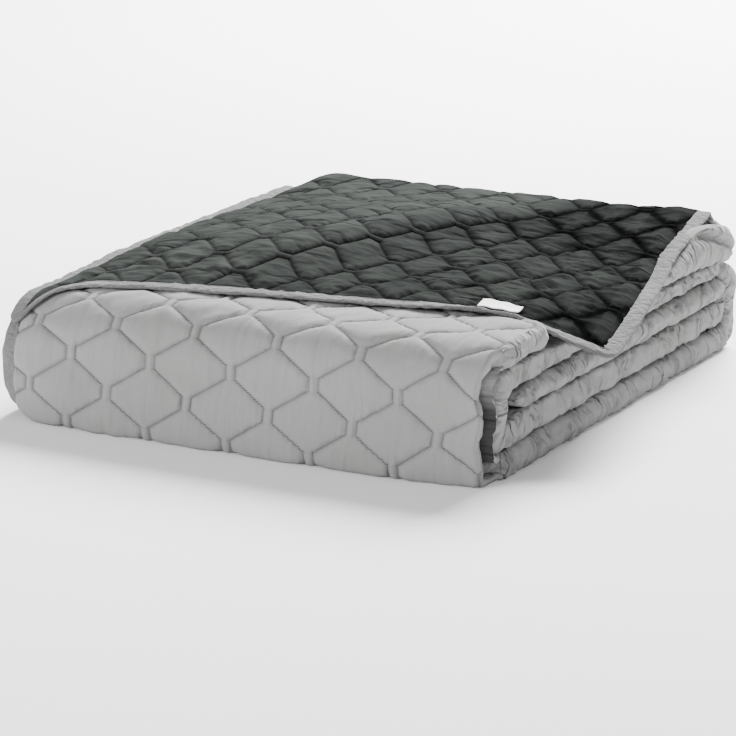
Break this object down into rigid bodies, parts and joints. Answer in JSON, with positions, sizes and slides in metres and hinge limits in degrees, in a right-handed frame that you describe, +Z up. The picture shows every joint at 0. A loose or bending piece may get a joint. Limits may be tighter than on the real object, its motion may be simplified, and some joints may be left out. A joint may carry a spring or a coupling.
{
  "type": "bedspread",
  "caption": "Reversible quilted bedspread folded into a flat rectangular pack, light side out, with the outer ply turned back over the top to show its dark side.",
  "frame": {"origin": "under the middle of the pack's bounding box, on the surface that it rests on", "axes": "+Z up from the surface, +X from the bound edges on the left towards the folds on the right, +Y from the front of the pack towards its back"},
  "size_m": [0.4922, 0.5276, 0.1374],
  "materials": {
    "light_cloth": "matte light grey microfibre with stitched quilting, charcoal on its other side",
    "edge_tape": "matte grey binding tape",
    "woven_tag": "smooth white woven tape, blank"
  },
  "bodies": {
    "root": {"quilted_cloth": "light_cloth", "edge_tape_outer_ply": "edge_tape", "edge_tape_inner_ply": "edge_tape", "edge_tape_flap": "edge_tape", "woven_tag": "woven_tag"}
  },
  "joints": []
}
